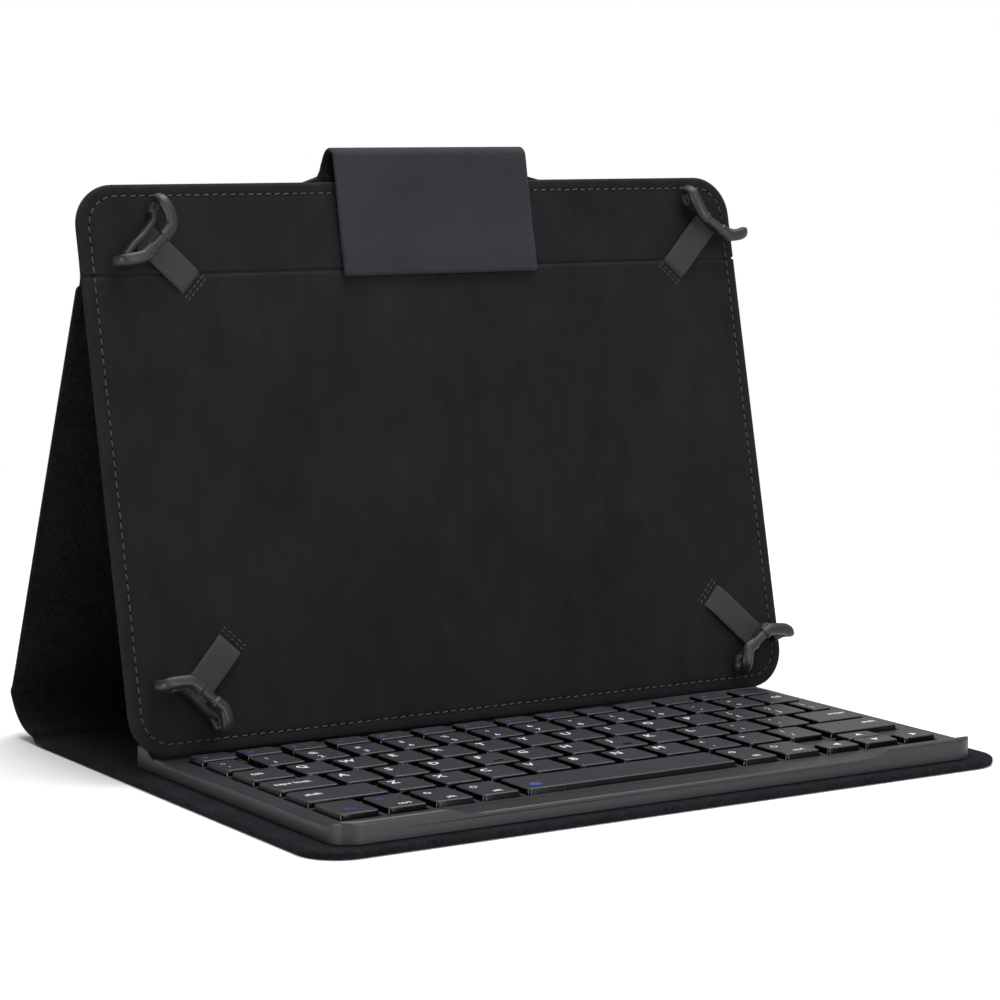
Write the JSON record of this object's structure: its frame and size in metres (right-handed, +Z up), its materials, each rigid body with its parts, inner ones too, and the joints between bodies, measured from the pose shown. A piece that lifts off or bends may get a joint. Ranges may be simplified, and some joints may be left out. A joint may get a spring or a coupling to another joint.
{
  "type": "tablet keyboard case",
  "caption": "Folding tablet case with a stand panel, silicone corner hooks, a magnetic closing flap and a lift-off wireless keyboard in its front cover.",
  "frame": {"origin": "on the table plane under the middle of the front cover", "axes": "+X to the typist's right along the case width, +Y away from the typist towards the spine, +Z up"},
  "size_m": [0.2653, 0.2231, 0.2041],
  "materials": {
    "cover_cloth": "woven twill",
    "lining": "short-pile microfibre",
    "greyboard": "matt",
    "panel_leather": "fine grain",
    "magnet_steel": "satin",
    "silicone": "satin",
    "elastic": "woven elastic",
    "shell_plastic": "fine texture",
    "key_plastic": "satin",
    "foot_rubber": "matt",
    "membrane": "matt",
    "battery_foil": "matt",
    "circuit_board": "matt",
    "button_plastic": "matt",
    "light_window": "clear"
  },
  "bodies": {
    "front_cover": {"flap_catch_plate": "magnet_steel", "front_cover_board": "greyboard", "front_cover_cloth": "cover_cloth", "front_cover_lining": "lining", "keyboard_catch_plate_left": "magnet_steel", "keyboard_catch_plate_right": "magnet_steel"},
    "spine": {"spine_cloth": "cover_cloth", "spine_lining": "lining"},
    "lower_back": {"back_cover_board": "greyboard", "back_cover_cloth": "cover_cloth", "back_cover_lining": "lining"},
    "tablet_holder": {"elastic_bottom_left": "elastic", "elastic_bottom_right": "elastic", "elastic_top_left": "elastic", "elastic_top_right": "elastic", "panel_backing": "lining", "panel_board": "greyboard", "panel_face": "panel_leather", "upper_back_board": "greyboard", "upper_back_cloth": "cover_cloth"},
    "flap_root": {"flap_riser": "cover_cloth"},
    "flap": {"flap_tongue_cloth": "cover_cloth", "flap_magnet": "magnet_steel", "flap_tongue_lining": "lining"},
    "hook_top_left": {"hook_top_left": "silicone"},
    "hook_top_right": {"hook_top_right": "silicone"},
    "hook_bottom_left": {"hook_bottom_left": "silicone"},
    "hook_bottom_right": {"hook_bottom_right": "silicone"},
    "keyboard": {"keyboard_top_shell": "shell_plastic", "keyboard_bottom_shell": "shell_plastic", "keyboard_foot_1": "foot_rubber", "keyboard_foot_2": "foot_rubber", "keyboard_foot_3": "foot_rubber", "keyboard_foot_4": "foot_rubber", "key_support_plate": "magnet_steel", "contact_membrane": "membrane", "keyboard_magnet_left": "magnet_steel", "keyboard_magnet_right": "magnet_steel", "battery": "battery_foil", "control_board": "circuit_board", "charging_socket": "magnet_steel", "status_light_window": "light_window"},
    "power_switch": {"power_switch": "button_plastic"},
    "pairing_button": {"pairing_button": "button_plastic"},
    "caps_lock_key": {"caps_lock_key": "key_plastic"},
    "down_arrow_key": {"down_arrow_key": "key_plastic"},
    "function_keys": {"function_keys": "key_plastic"},
    "left_arrow_key": {"left_arrow_key": "key_plastic"},
    "left_modifier_keys": {"left_modifier_keys": "key_plastic"},
    "left_shift_key": {"left_shift_key": "key_plastic"},
    "lower_letter_keys": {"lower_letter_keys": "key_plastic"},
    "middle_letter_keys": {"middle_letter_keys": "key_plastic"},
    "number_keys": {"number_keys": "key_plastic"},
    "return_key": {"return_key": "key_plastic"},
    "right_arrow_key": {"right_arrow_key": "key_plastic"},
    "right_modifier_keys": {"right_modifier_keys": "key_plastic"},
    "right_shift_key": {"right_shift_key": "key_plastic"},
    "space_bar": {"space_bar": "key_plastic"},
    "up_arrow_key": {"up_arrow_key": "key_plastic"},
    "upper_letter_keys": {"upper_letter_keys": "key_plastic"}
  },
  "joints": [
    {"name": "spine_fold", "type": "hinge", "parent": "front_cover", "child": "spine", "pos_m": [0, 0.1015, 0.0018], "axis": [1, 0, 0], "range_deg": [-32.5, 0]},
    {"name": "back_fold", "type": "hinge", "parent": "spine", "child": "lower_back", "pos_m": [0, 0.12183, 0.01475], "axis": [1, 0, 0], "range_deg": [-80.16, 0]},
    {"name": "holder_fold", "type": "hinge", "parent": "lower_back", "child": "tablet_holder", "pos_m": [0, 0.06038, 0.16198], "axis": [1, 0, 0], "range_deg": [0, 34.94]},
    {"name": "flap_root_fold", "type": "hinge", "parent": "tablet_holder", "child": "flap_root", "pos_m": [0, 0.06722, 0.19293], "axis": [-1, 0, 0], "range_deg": [0, 75]},
    {"name": "flap_loop_fold", "type": "hinge", "parent": "flap_root", "child": "flap", "pos_m": [0, 0.06955, 0.19999], "axis": [-1, 0, 0], "range_deg": [0, 175]},
    {"name": "hook_top_left_stretch", "type": "slide", "parent": "tablet_holder", "child": "hook_top_left", "axis": [-0.7071, 0.1504, 0.6909], "range_m": [0, 0.004], "stiffness_N_per_m": 400},
    {"name": "hook_top_right_stretch", "type": "slide", "parent": "tablet_holder", "child": "hook_top_right", "axis": [0.7071, 0.1504, 0.6909], "range_m": [0, 0.004], "stiffness_N_per_m": 400},
    {"name": "hook_bottom_left_stretch", "type": "slide", "parent": "tablet_holder", "child": "hook_bottom_left", "axis": [-0.7071, -0.1504, -0.6909], "range_m": [0, 0.004], "stiffness_N_per_m": 400},
    {"name": "hook_bottom_right_stretch", "type": "slide", "parent": "tablet_holder", "child": "hook_bottom_right", "axis": [0.7071, -0.1504, -0.6909], "range_m": [0, 0.004], "stiffness_N_per_m": 400},
    {"name": "keyboard_slide", "type": "slide", "parent": "front_cover", "child": "keyboard", "axis": [1, 0, 0], "range_m": [0, 0.04]},
    {"name": "power_switch_slide", "type": "slide", "parent": "keyboard", "child": "power_switch", "axis": [1, 0, 0], "range_m": [0, 0.005]},
    {"name": "pairing_button_press", "type": "slide", "parent": "keyboard", "child": "pairing_button", "axis": [0, -1, 0], "range_m": [0, 0.0006], "stiffness_N_per_m": 900},
    {"name": "caps_lock_key_press", "type": "slide", "parent": "keyboard", "child": "caps_lock_key", "axis": [0, 0, -1], "range_m": [0, 0.001], "stiffness_N_per_m": 500},
    {"name": "down_arrow_key_press", "type": "slide", "parent": "keyboard", "child": "down_arrow_key", "axis": [0, 0, -1], "range_m": [0, 0.001], "stiffness_N_per_m": 500},
    {"name": "function_keys_press", "type": "slide", "parent": "keyboard", "child": "function_keys", "axis": [0, 0, -1], "range_m": [0, 0.001], "stiffness_N_per_m": 500},
    {"name": "left_arrow_key_press", "type": "slide", "parent": "keyboard", "child": "left_arrow_key", "axis": [0, 0, -1], "range_m": [0, 0.001], "stiffness_N_per_m": 500},
    {"name": "left_modifier_keys_press", "type": "slide", "parent": "keyboard", "child": "left_modifier_keys", "axis": [0, 0, -1], "range_m": [0, 0.001], "stiffness_N_per_m": 500},
    {"name": "left_shift_key_press", "type": "slide", "parent": "keyboard", "child": "left_shift_key", "axis": [0, 0, -1], "range_m": [0, 0.001], "stiffness_N_per_m": 500},
    {"name": "lower_letter_keys_press", "type": "slide", "parent": "keyboard", "child": "lower_letter_keys", "axis": [0, 0, -1], "range_m": [0, 0.001], "stiffness_N_per_m": 500},
    {"name": "middle_letter_keys_press", "type": "slide", "parent": "keyboard", "child": "middle_letter_keys", "axis": [0, 0, -1], "range_m": [0, 0.001], "stiffness_N_per_m": 500},
    {"name": "number_keys_press", "type": "slide", "parent": "keyboard", "child": "number_keys", "axis": [0, 0, -1], "range_m": [0, 0.001], "stiffness_N_per_m": 500},
    {"name": "return_key_press", "type": "slide", "parent": "keyboard", "child": "return_key", "axis": [0, 0, -1], "range_m": [0, 0.001], "stiffness_N_per_m": 500},
    {"name": "right_arrow_key_press", "type": "slide", "parent": "keyboard", "child": "right_arrow_key", "axis": [0, 0, -1], "range_m": [0, 0.001], "stiffness_N_per_m": 500},
    {"name": "right_modifier_keys_press", "type": "slide", "parent": "keyboard", "child": "right_modifier_keys", "axis": [0, 0, -1], "range_m": [0, 0.001], "stiffness_N_per_m": 500},
    {"name": "right_shift_key_press", "type": "slide", "parent": "keyboard", "child": "right_shift_key", "axis": [0, 0, -1], "range_m": [0, 0.001], "stiffness_N_per_m": 500},
    {"name": "space_bar_press", "type": "slide", "parent": "keyboard", "child": "space_bar", "axis": [0, 0, -1], "range_m": [0, 0.001], "stiffness_N_per_m": 500},
    {"name": "up_arrow_key_press", "type": "slide", "parent": "keyboard", "child": "up_arrow_key", "axis": [0, 0, -1], "range_m": [0, 0.001], "stiffness_N_per_m": 500},
    {"name": "upper_letter_keys_press", "type": "slide", "parent": "keyboard", "child": "upper_letter_keys", "axis": [0, 0, -1], "range_m": [0, 0.001], "stiffness_N_per_m": 500}
  ],
  "couplings": [
    {"joint": "back_fold", "follows": "spine_fold", "ratio": 2.4662},
    {"joint": "holder_fold", "follows": "spine_fold", "ratio": -1.0748}
  ]
}
